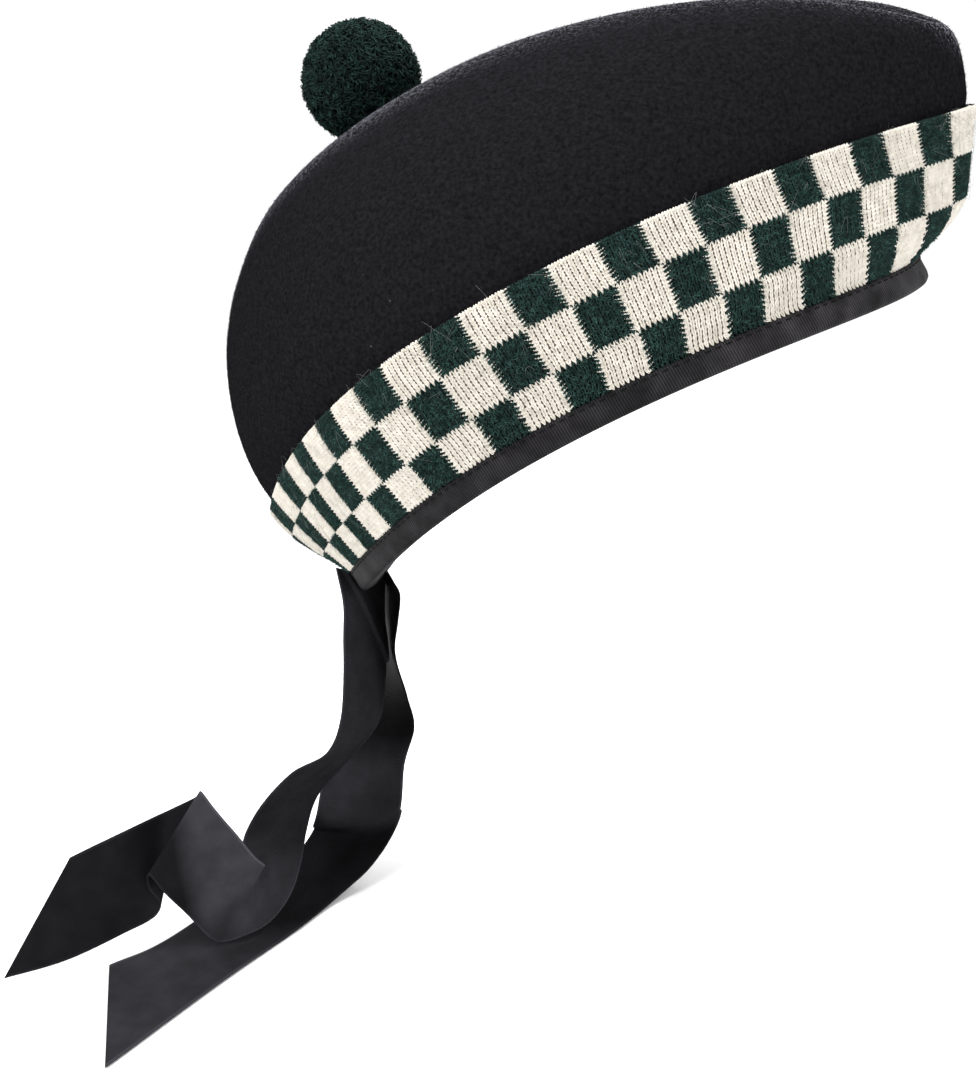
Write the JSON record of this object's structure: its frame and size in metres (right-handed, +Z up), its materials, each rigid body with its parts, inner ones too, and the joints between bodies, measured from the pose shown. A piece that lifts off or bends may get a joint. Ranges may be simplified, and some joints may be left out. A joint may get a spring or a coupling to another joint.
{
  "type": "glengarry",
  "caption": "Boat-shaped felt cap with a lengthwise crease, a chequered knitted band, a bound rim, a pompom in the crease and ribbon tails at the back.",
  "frame": {"origin": "middle of the head opening, on the rim's own plane", "axes": "+X towards the front point of the cap, -Y the wearer's right side, +Z up as it is worn with its front raised"},
  "size_m": [0.2858, 0.2148, 0.3032],
  "materials": {
    "navy_felt": "matte brushed wool felt",
    "checked_knit": "knitted wool checks, dark green and cream",
    "grosgrain": "ribbed ribbon",
    "green_yarn": "cut wool yarn",
    "tail_ribbon": "ribbed ribbon, slight sheen"
  },
  "bodies": {
    "root": {"crown": "navy_felt", "diced_band": "checked_knit", "rim_binding": "grosgrain", "toorie": "green_yarn", "near_tail": "tail_ribbon", "far_tail": "tail_ribbon"}
  },
  "joints": []
}
